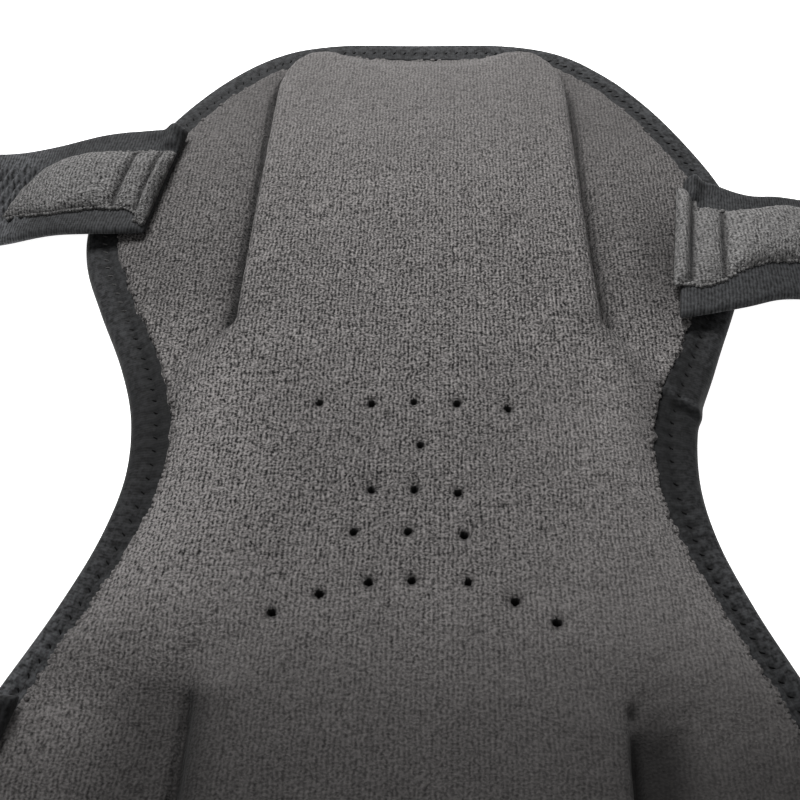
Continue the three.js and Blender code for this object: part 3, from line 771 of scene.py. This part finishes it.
def tape_rise(place, y, inset):
    """Relief on the tape's upper leg: a stitched groove with dents, puckers and lumps, calmer on the thigh,
    a rolled outer half, and the slanting step of the lap at the right waist with a crease before it."""
    share = inset / tape_reach(y)
    groove = bell(share - STITCH_SHARE, 0.07)
    beat = stitch_beat(place)
    pucker = bell(share - STITCH_SHARE, 0.3) * (1 - groove)
    past = past_lap(place, share)
    lap = smooth(past, 0, LAP_EDGE) * (1 - smooth(past, LAP_EDGE, LAP_LENGTH))
    gap = bell(past + 0.6, 0.6) * smooth(share, 0.05, 0.15) * (1 - smooth(share, 0.6, 0.75))
    lumps = 0.16 * uneven(place, inset * 2, 9, 11)
    lumps = lumps + 0.2 * uneven(place, inset, 2.3, 14) * smooth(share, 0.45, 0.75)
    sewing = -groove * (0.38 + 0.3 * beat) - 0.2 * beat * pucker
    roll = 0.3 * bell(share - 0.3, 0.18)
    calm = 1 - 0.65 * smooth(y, *TAPE_CALM)
    step = LAP_RISE * lap * smooth(share, 0, 0.2) - LAP_CREASE * gap
    return (calm * (sewing + lumps) + roll) * smooth(share, 0, 0.15) + step


def tape_painted_light(place, x, y, share):
    """Painted light and shade on the tape: painted dark round the waist and on the thigh, paler at the calf's
    left and on the rolled outer half, painted shade darkest in the dents and below the lap's step, and a
    painted highlight on that step's ridge."""
    dent = bell(share - STITCH_SHARE, 0.1) * smooth(stitch_beat(place), 0, 0.9)
    dent = 0.75 * dent * (1 - 0.75 * smooth(y, *TAPE_CALM))
    past = past_lap(place, share)
    on_leg = smooth(share, 0.05, 0.3)
    ridge = bell(past - 1.6, 1.2) * on_leg
    below = bell(past + 0.6, 0.7) * on_leg
    calf = smooth(-y, 20, 60) * (0.35 - 0.75 * smooth(x, -20, 40))
    shade = (1 - 0.87 * bell(y - 14, 46) + calf) * (0.65 + 0.35 * (1 - smooth(share, 0.3, 0.6)))
    shade = shade * (1 - (0.6 - 0.15 * smooth(x, -20, 20)) * smooth(y, 30, 75))
    return (shade + 0.3 * ridge) * (1 - dent) * (1 - below)


tape_place = np.arange(TAPE_SECTIONS) / TAPE_SECTIONS * edge_total
tape_edge, tape_inward = on_edge(tape_place)
tape_y = tape_edge[:, 1:]
tape_far = tape_reach(tape_y) + rough(tape_place, 0 * tape_place, TAPE_WAVE)[:, None]
tape_lap = np.exp(-(((tape_edge - (LAP_ACROSS, LAP_ALONG + 1.5)) / (12, 2)) ** 2).sum(1))
tape_edge = tape_edge - tape_inward * 0.5 * tape_lap[:, None]
leg_share = np.linspace(0.05, 1, 18) ** 1.5
upper_inset = tape_far * leg_share
upper_height = tape_top(tape_y, upper_inset) + tape_rise(tape_place[:, None], tape_y, upper_inset)
under_inset = np.concatenate([tape_far * HIDDEN_LEG, 0 * tape_far + HIDDEN_TURN], 1)
under_height = tape_top(tape_y, under_inset) - TAPE_THICKNESS
tape_section = []
for axis, upper, under in ((0, upper_inset, under_inset), (1, upper_height, under_height)):
    floor_leg, fold_leg = (np.repeat(leg[None, :, axis], TAPE_SECTIONS, 0) for leg in (FLOOR_LEG, FOLD_LEG))
    tape_section.append(np.concatenate([floor_leg, upper, under, fold_leg], 1))
tape_inset, tape_height = tape_section
tape_plan = tape_edge[:, None] + tape_inward[:, None] * tape_inset[:, :, None]
tape_points = settle(tape_plan, tape_height)
tape_faces, tape_row, tape_column = wrap_faces(TAPE_SECTIONS, tape_points.shape[1], True)
tape_over = ring_places(np.stack([tape_inset[0], tape_height[0]], 1))
tape_weave = np.stack([tape_row * edge_total / TAPE_SECTIONS, tape_over[tape_column]], 2)
tape = cloth_mesh("edge_tape", tape_points.reshape(-1, 3), [tape_faces], tape_weave)
tape_finish = knit_finish("tape knit", edge_total / round(edge_total / TAPE_RIB), 0.12)
tape_share = tape_inset / tape_reach(tape_y)
# The tape's painted light and shade, kept as a mark that scales its colour.
mark(tape, "painted_light_and_tone", tape_painted_light(tape_place[:, None], tape_edge[:, :1], tape_y, tape_share))
tape.data.materials.append(tape_finish)
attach(tape, "root")
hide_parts("body_binding")

# The stitches in the tape
# Short threads across the groove of the tape, one in each dent, of black yarn coloured paler grey on the
# thigh flaps.
THREAD_RADIUS = 0.2
THREAD_HALF = 0.85
THREAD_SLANT = np.radians(55)
THREAD_DARK = (0.004, 0.004, 0.0042, 1)
THREAD_PALE = (0.08, 0.079, 0.078, 1)


def threads(name, paths, side, radius, sides):
    """Closed tubes along many short paths: a ring of points round each path point, square to its run. side
    is a unit vector for each path, square to the plane it bends in."""
    run = np.gradient(paths, axis=1)
    run = run / np.linalg.norm(run, axis=2, keepdims=True)
    side = side[:, None] + 0 * run
    up = np.cross(side, run)
    angle = np.arange(sides)[:, None] / sides * 2 * np.pi
    ring = np.cos(angle) * side[:, :, None] + np.sin(angle) * up[:, :, None]
    count, steps = paths.shape[:2]
    points = (paths[:, :, None] + radius * ring).reshape(count, -1, 3)
    caps = np.stack([np.arange(sides), (steps - 1) * sides + np.arange(sides)[::-1]])
    return repeated(name, points, [wrap_faces(steps, sides, False)[0], caps])


def yarn_finish(name, dark, pale):
    """Dull sewing thread, dark where the painted light and tone mark is 0 and pale where it is 1."""
    finish, tree = new_finish(name)
    shade = tree.marked("painted_light_and_tone").blend(dark, pale)
    end_finish(tree, {"Base Color": shade, "Roughness": 0.85, "Specular IOR Level": 0.1})
    return finish


stitch_place = np.arange(STITCH_PITCH, edge_total, STITCH_PITCH)
stitch_edge, stitch_inward = on_edge(stitch_place)
stitch_y = stitch_edge[:, 1:]
stitch_run = stitch_inward[:, ::-1] * (1, -1)
stitch_share = np.linspace(-1, 1, 5)[None]
stitch_inset = tape_reach(stitch_y) * STITCH_SHARE + THREAD_HALF * np.sin(THREAD_SLANT) * stitch_share
stitch_along = THREAD_HALF * np.cos(THREAD_SLANT) * stitch_share
stitch_plan = (stitch_edge[:, None] + stitch_inward[:, None] * stitch_inset[:, :, None]
               + stitch_run[:, None] * stitch_along[:, :, None])
stitch_floor = tape_top(stitch_y, stitch_inset) + tape_rise(stitch_place[:, None], stitch_y, stitch_inset)
stitch_height = stitch_floor + 0.2 - 0.35 * stitch_share**2
stitch_paths = settle(stitch_plan, stitch_height)
stitch_flat = stitch_inward * np.cos(THREAD_SLANT) - stitch_run * np.sin(THREAD_SLANT)
stitch_side = np.column_stack([stitch_flat, 0 * stitch_y])
stitches = threads("tape_stitches", stitch_paths, stitch_side, THREAD_RADIUS, 5)
stitch_pale = smooth(stitch_y[:, 0], 40, 52) * (1 - smooth(stitch_y[:, 0], 80, 95))
mark(stitches, "painted_light_and_tone", stitch_pale)
stitches.data.materials.append(yarn_finish("tape thread", THREAD_DARK, THREAD_PALE))
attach(stitches, "root")

# The pile over the tape's margin
# Single loops of the towelling that bulge over the inner margin of the tape between its stitches, most of
# them on the calf flaps.
NUB_PITCH = 1.15
NUB_BULGE = 0.8
NUB_SINK = 0.12


def nubs(name, centres, sizes):
    """Small closed domes: ellipsoids of these half-sizes, as three rings of six points and two poles."""
    height = np.repeat([-0.7, 0.0, 0.7], 6)
    angle = np.tile(np.arange(6) / 6 * 2 * np.pi, 3) + np.repeat([0, np.pi / 6, 0], 6)
    level = np.sqrt(1 - height**2)
    ball = np.column_stack([level * np.cos(angle), level * np.sin(angle), height])
    ball = np.concatenate([ball, [(0, 0, -1), (0, 0, 1)]])
    points = centres[:, None] + ball[None] * sizes[:, None]
    walls = wrap_faces(3, 6, False)[0][:, ::-1]
    ring = np.arange(6)
    after = np.roll(ring, -1)
    low_cap = np.stack([ring * 0 + 18, after, ring], 1)
    high_cap = np.stack([ring * 0 + 19, ring + 12, after + 12], 1)
    return repeated(name, points, [walls, np.concatenate([low_cap, high_cap])])


nub_rng = np.random.default_rng(22)
nub_place = np.arange(0, edge_total, NUB_PITCH)
nub_place = nub_place + nub_rng.uniform(-0.2, 0.2, len(nub_place))
nub_kept = nub_rng.uniform(0, 1, len(nub_place)) > 0.85 * smooth(on_edge(nub_place)[0][:, 1], 20, 75)
nub_place = nub_place[nub_kept]
nub_edge, nub_inward = on_edge(nub_place)
nub_scallop = 0.5 - 0.5 * stitch_beat(nub_place)
nub_bulge = NUB_BULGE * nub_scallop * (0.4 + 0.6 * smooth(-nub_edge[:, 1], 0, 40))
nub_inset = tape_reach(nub_edge[:, 1]) + 0.5 - nub_bulge + nub_rng.uniform(-0.3, 0.3, len(nub_place))
nub_plan = nub_edge + nub_inward * nub_inset[:, None]
nub_floor = np.maximum(lining_height(*nub_plan.T, nub_inset), tape_top(nub_edge[:, 1], nub_inset))
nub_size = nub_rng.uniform(0.85, 1.15, (len(nub_place), 1)) * (0.85, 0.85, 0.4)
margin_nubs = nubs("lining_margin", settle(nub_plan, nub_floor - NUB_SINK), nub_size)
# The lining's painted light and shade at each loop, times a random tone.
nub_painted_light_and_tone = painted_light_and_tone(*nub_plan.T, nub_inset) * nub_rng.uniform(0.85, 1.05, len(nub_place))
mark(margin_nubs, "painted_light_and_tone", nub_painted_light_and_tone)
mark(margin_nubs, "stand", 0.45)
margin_nubs.data.materials.append(lining_finish)
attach(margin_nubs, "root")

# The strap bands
# Four padded bands of black ribbed knit with rounded edges. Each is sewn to a flap at one end, where it is
# bunched beside the pad, drops to the floor and lies there, with slanting puckers where the pad ends.

# For each: the middle of its sewn end, the angles at which it runs and is cut askew, the side of its waist
# edge, the flap's height under it, half its sewn width, where that narrows, how far it bows to the waist
# there, and how pale it is painted at its sewn end, at the puckers, where a painted highlight lies, and
# beyond.
STRAP_PLAIN = dict(end_half=21.8, flare=(10, 40), bow=0.5)
STRAPS = [
    dict(STRAP_PLAIN, name="upper_left", across=-73.4, along=98.2, turn=180, skew=-8, waist_side=1, seat=8.4,
         painted_light_and_tone=(0.46, 1.25, 0.6)),
    dict(name="upper_right", across=74.6, along=71.3, turn=5.5, skew=-14, waist_side=-1, seat=8.4,
         end_half=26, flare=(2, 28), bow=2.2, painted_light_and_tone=(0.57, 0.62, 0.6)),
    dict(STRAP_PLAIN, name="lower_left", across=-81.5, along=-77, turn=176, skew=-8, waist_side=1, seat=9.9,
         painted_light_and_tone=(0.47, 0.6, 0.6)),
    dict(STRAP_PLAIN, name="lower_right", across=81.5, along=-79, turn=4, skew=-12, waist_side=-1, seat=9.9,
         painted_light_and_tone=(0.47, 0.6, 0.6)),
]
STRAP_LENGTH = 150
STRAP_CORNER = 14
SKEW_FADE = 60
STRAP_DROP = (14, 58)
BAND_START = 1
BAND_HALF = 19.5
BAND_EDGE = 2.2
BAND_SEWN = 2.6
BAND_FULL = 3.4
BAND_FULL_FROM = (12, 28)
PUCKER_PITCH = 3.6
PUCKER_RISE = 1.2
KNOB_RISE = 2.8
HEM_RISE = 1.3
BAND_WAVE = 0.15
# Lengths along a band where its painted light changes: the sewn end, the puckers' painted highlight, beyond.
BAND_LIGHT_ALONG = [36, 48, 85]


def strap_floor(seat, s):
    """Height of a strap's underside: on the flap near the sewn end, then down to the floor."""
    return seat * (1 - smooth(s, *STRAP_DROP))


def band_thickness(s):
    """Thickness of a band, thinner where it is sewn down."""
    return BAND_SEWN + (BAND_FULL - BAND_SEWN) * smooth(s, *BAND_FULL_FROM)


def on_strap(strap, s, w, z):
    """Points of a strap from their length along it, width across it and height. Its sewn end is askew."""
    run = np.radians(strap["turn"])
    lean = run + np.radians(strap["skew"]) * (1 - smooth(s, 0, SKEW_FADE))
    x = strap["across"] + s * np.cos(run) - w * np.sin(lean)
    y = strap["along"] + s * np.sin(run) + w * np.cos(lean)
    return np.stack(np.broadcast_arrays(x, y, z), 2)


def swept_solid(name, top, bottom, s):
    """Closed solid between two grids of points, a row for each section, with its weave along and round it."""
    loops = np.concatenate([top, bottom[:, ::-1]], 1)
    rows, around = loops.shape[:2]
    sides, row, column = wrap_faces(rows, around, False)
    k = np.arange(around // 2 - 1)
    start = np.stack([k, k + 1, around - 2 - k, around - 1 - k], 1)
    end = (rows - 1) * around + start[:, ::-1]
    over = ring_places(loops[rows // 3])
    weave = np.stack([s[row], over[column]], 2).reshape(-1, 2)
    blank = np.zeros((2 * start.size, 2))
    return cloth_mesh(name, loops.reshape(-1, 3), [sides, start, end], np.concatenate([weave, blank]))


band_s = np.linspace(BAND_START, STRAP_LENGTH, 260)
band_row = band_s[:, None]
band_t = np.linspace(-1, 1, 45)
band_corner = np.clip((band_row - STRAP_LENGTH + STRAP_CORNER) / STRAP_CORNER, 0, 1)
band_round = STRAP_CORNER * (1 - np.sqrt(1 - 0.999 * band_corner**2))
end_round = np.sqrt(1 - 0.8 * (1 - smooth(band_row, BAND_START, BAND_START + 2)) ** 2)
strap_knit = knit_finish("strap knit", 0.9, 0.45)

for seed, strap in enumerate(STRAPS):
    name, waist_side, seat = strap["name"], strap["waist_side"], strap["seat"]
    half = BAND_HALF + (strap["end_half"] - BAND_HALF) * (1 - smooth(band_row, *strap["flare"])) - band_round
    band_w = half * np.sign(band_t) * np.abs(band_t) ** 0.8
    bow = strap["bow"] * waist_side * bell(band_row - 20, 9)
    edge_round = np.sqrt(1 - 0.98 * np.clip((np.abs(band_w) - half + BAND_EDGE) / BAND_EDGE, 0, 1) ** 2)
    slanted = band_row - 0.3 * band_w * waist_side
    pucker = np.sin(2 * np.pi * slanted / PUCKER_PITCH + 1.5 * uneven(band_row, band_w, 7, 40 + seed))
    pucker = PUCKER_RISE * pucker * smooth(band_row, 36, 46) * (1 - 0.6 * smooth(band_row, 70, 120))
    pucker = pucker * (1 - smooth(np.abs(band_w), 8, 16))
    from_far = half + band_w * waist_side
    knob = KNOB_RISE * bell(band_row - 3.6, 2.3) * (1 - smooth(from_far, 8, 11))
    hem = HEM_RISE * bell(from_far - 3, 2) * (1 - smooth(band_row, 9, 16))
    wave = BAND_WAVE * uneven(band_row, band_w, 16, 50 + seed) * smooth(band_row, 8, 20)
    thick = band_thickness(band_row)
    mid = strap_floor(seat, band_row) + thick / 2
    lift = thick / 2 * edge_round * end_round
    band_top = on_strap(strap, band_row, band_w + bow, mid + lift + (pucker + knob + hem + wave) * edge_round)
    band_bottom = on_strap(strap, band_row, band_w + bow, mid - lift)
    band = swept_solid(f"strap_band_{name}", band_top, band_bottom, band_s)
    # Painted light along the band, with a painted highlight over the puckers.
    mark(band, "painted_light_and_tone", np.interp(band_s, BAND_LIGHT_ALONG, strap["painted_light_and_tone"]))
    band.data.materials.append(strap_knit)
    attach(band, "root")
    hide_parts(f"strap_{name}")

# The strap pads
# Towelling faces on the straps' sewn ends: a rolled end, a cross seam, a short field, a second seam, and
# then a domed pad whose far corner is cut to a slanting tip. Loops stand out along their edges.
PAD_ROLL = [0, 0.12, 0.33, 0.55, 0.8, 1]
PAD_ROLL_RISE = [1, 2.9, 4.1, 4.1, 2.6, 0.4]
PAD_ALONG = [6, 8.7, 11.2, 12.6, 14.2, 19, 26]
PAD_RISE = [2.6, 3.5, 2.6, 0.4, 2.9, 4.2, 4.6]
PAD_TAPER = [9, 4, 0]
PAD_TAPER_RISE = [4.2, 3.2, 1.4]
PAD_TIP = 18.5
PAD_SEAM = 12.6
PAD_SEAM_WIDTH = 0.9
PAD_SEAM_SHADE = 0.85
PAD_SIDE_ALONG = [0, 4.6, 5.2, 9, 12.6, 16, 24, 32, 42]
# For each strap: the pad's start, first seam and end, how pale it is painted (painted light and tone), how
# much its pile stands, and its half widths on the far side and on the waist side.
PAD_LEFT = dict(start=0.9, seam=4.9, end=48.5, painted_light_and_tone=0.67, stand=0.75,
                far=[10.2, 10, 10, 10.2, 9.8, 9.8, 9.8, 9.6, 9.6],
                near=[19.8, 18.5, 14.5, 13.4, 13.4, 13.2, 13.6, 13.2, 11])
PAD_RIGHT = dict(start=-1.3, seam=3.6, end=64, painted_light_and_tone=0.83, stand=0.62,
                 far=[21.5, 18.5, 12.2, 12, 11, 10.2, 10.6, 13, 13.5],
                 near=[15.2, 16, 16.6, 16.4, 15, 12.3, 9, 7.6, 7.2])
PADS = {"upper_left": PAD_LEFT, "upper_right": PAD_RIGHT, "lower_left": PAD_LEFT, "lower_right": PAD_LEFT}
PAD_NUB_PITCH = 1.1
# Colour of the pads' loop crowns, and of the painted shade in the gaps between them.
PAD_PALE = (0.37, 0.362, 0.358, 1)
PAD_GAP_SHADE = (0.012, 0.0115, 0.0115, 1)

pad_nub_rng = np.random.default_rng(24)
pad_nub_centres, pad_nub_light_and_tone = [], []
pad_t = np.linspace(-1, 1, 57)
pad_dome = 0.15 + 0.85 * (1 - np.abs(pad_t) ** 2.6) ** 0.6
pad_finish = terry_finish("pad towelling", PAD_PALE, PAD_GAP_SHADE)

for seed, strap in enumerate(STRAPS):
    name, waist_side, seat = strap["name"], strap["waist_side"], strap["seat"]
    shape = PADS[name]
    start, seam, length = shape["start"], shape["seam"], shape["end"]
    pad_s = np.linspace(start, length, 150)
    pad_row = pad_s[:, None]
    stations = [start + (seam - start) * a for a in PAD_ROLL] + PAD_ALONG + [length - a for a in PAD_TAPER]
    rise = np.interp(pad_s, stations, PAD_ROLL_RISE + PAD_RISE + PAD_TAPER_RISE)
    rise = np.convolve(np.pad(rise, 1, "edge"), [0.25, 0.5, 0.25], "valid")[:, None]
    near = np.interp(pad_row, PAD_SIDE_ALONG, shape["near"])
    far = np.interp(pad_row, PAD_SIDE_ALONG, shape["far"])
    tip = np.clip((pad_row - length + PAD_TIP) / PAD_TIP, 0, 0.99) ** 2.6
    far = far - (far + near) * tip
    low, high = (-far, near) if waist_side > 0 else (-near, far)
    pad_w = low + (high - low) * (pad_t + 1) / 2
    pile = rough(pad_row, pad_w, [(0.2, 2.4, 61 + seed), (0.16, 1.2, 71 + seed)])
    pad_seat = strap_floor(seat, pad_row) + band_thickness(pad_row)
    pad_top = on_strap(strap, pad_row, pad_w, pad_seat + rise * pad_dome + pile)
    pad_bottom = on_strap(strap, pad_row, pad_w, pad_seat - 0.3 + 0 * pad_w)
    pad = swept_solid(f"strap_terry_{name}", pad_top, pad_bottom, pad_s)
    # Painted shade along both seams, and a little over the rolled end and first field.
    seams = bell(pad_row - seam, PAD_SEAM_WIDTH) + bell(pad_row - PAD_SEAM, PAD_SEAM_WIDTH)
    pad_painted_light_and_tone = shape["painted_light_and_tone"] * (0.86 + 0.14 * smooth(pad_row, 10, 15))
    pad_painted_light_and_tone = pad_painted_light_and_tone * np.concatenate([1 - PAD_SEAM_SHADE * seams + 0 * pad_w, 1 + 0 * pad_w], 1)
    mark(pad, "painted_light_and_tone", pad_painted_light_and_tone)
    mark(pad, "stand", shape["stand"])
    pad.data.materials.append(pad_finish)
    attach(pad, "root")
    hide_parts(f"strap_pad_{name}")
    nub_s = np.arange(start + 1, length - 1, PAD_NUB_PITCH)
    for edge, outwards in ((low, -1), (high, 1)):
        loose = pad_nub_rng.uniform(-0.3, 0.4, len(nub_s))
        nub_w = np.interp(nub_s, pad_s, edge[:, 0]) + outwards * loose
        nub_z = strap_floor(seat, nub_s) + band_thickness(nub_s) + 0.3
        pad_nub_centres.append(on_strap(strap, nub_s[:, None], nub_w[:, None], nub_z[:, None])[:, 0])
        # Each edge loop takes the pad's painted light and tone times a random tone.
        pad_nub_light_and_tone.append(shape["painted_light_and_tone"] * pad_nub_rng.uniform(0.75, 1, len(nub_s)))

pad_nub_centres = np.concatenate(pad_nub_centres)
pad_nub_size = pad_nub_rng.uniform(0.8, 1.2, (len(pad_nub_centres), 1)) * (0.75, 0.75, 0.6)
pad_nubs = nubs("strap_terry_margin", pad_nub_centres, pad_nub_size)
mark(pad_nubs, "painted_light_and_tone", np.concatenate(pad_nub_light_and_tone))
mark(pad_nubs, "stand", 0.45)
pad_nubs.data.materials.append(pad_finish)
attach(pad_nubs, "root")

# The studio
# A plain white floor, a soft key light behind on the left, weak fill from the front, and the photo's camera.
FLOOR_HALF = 20000.0
FLOOR_GLOW = 0.95
KEY_PLACE = (-0.10, 0.32, 0.42)
KEY_AIM = (0, 0.14, 0)
KEY_RADIUS = 0.15
KEY_ANGLE = 66
KEY_POWER = 17.6
FILL_PLACE = (0.2, -0.5, 0.7)
FILL_SIZE = 0.8
FILL_POWER = 1.0
WORLD_STRENGTH = 0.17
CAMERA_PLACE = (0.0119, -0.1136, 0.2064)
CAMERA_PITCH = 56
CAMERA_LENS = 42.48
CAMERA_SENSOR = 36
CAMERA_NEAR = 0.01
CAMERA_SHIFT = -0.07


def studio_light(name, kind, place, target, power):
    """Light of this kind at place, turned to face the target."""
    data = bpy.data.lights.new(name, kind)
    data.energy = power
    light = bpy.data.objects.new(name, data)
    light.location = place
    away = Vector(np.subtract(target, place))
    light.rotation_euler = away.to_track_quat("-Z", "Y").to_euler()
    bpy.context.collection.objects.link(light)
    return data


floor_corners = np.array([(-1, -1, 0), (1, -1, 0), (1, 1, 0), (-1, 1, 0)]) * FLOOR_HALF
floor = cloth_mesh("floor", floor_corners, [np.array([[0, 1, 2, 3]])])
floor_finish, floor_tree = new_finish("floor white")
end_finish(floor_tree, {
    "Base Color": (0.9, 0.9, 0.9, 1),
    "Roughness": 0.9,
    "Emission Color": (1, 1, 1, 1),
    "Emission Strength": FLOOR_GLOW,
})
floor.data.materials.append(floor_finish)

key = studio_light("key", "SPOT", KEY_PLACE, KEY_AIM, KEY_POWER)
key.shadow_soft_size = KEY_RADIUS
key.spot_size = np.radians(KEY_ANGLE)
key.spot_blend = 1
fill = studio_light("fill", "AREA", FILL_PLACE, (0, 0, 0), FILL_POWER)
fill.size = FILL_SIZE

scene = bpy.context.scene
scene.world = bpy.data.worlds.new("studio")
scene.world.use_nodes = True
background = scene.world.node_tree.nodes["Background"]
background.inputs["Color"].default_value = (1, 1, 1, 1)
background.inputs["Strength"].default_value = WORLD_STRENGTH
scene.view_settings.view_transform = "Standard"

camera_data = bpy.data.cameras.new("camera")
camera_data.sensor_width = CAMERA_SENSOR
camera_data.lens = CAMERA_LENS
camera_data.shift_x = CAMERA_SHIFT
camera_data.clip_start = CAMERA_NEAR
camera = bpy.data.objects.new("camera", camera_data)
camera.location = CAMERA_PLACE
camera.rotation_euler = (np.radians(90 - CAMERA_PITCH), 0, 0)
bpy.context.collection.objects.link(camera)
scene.camera = camera
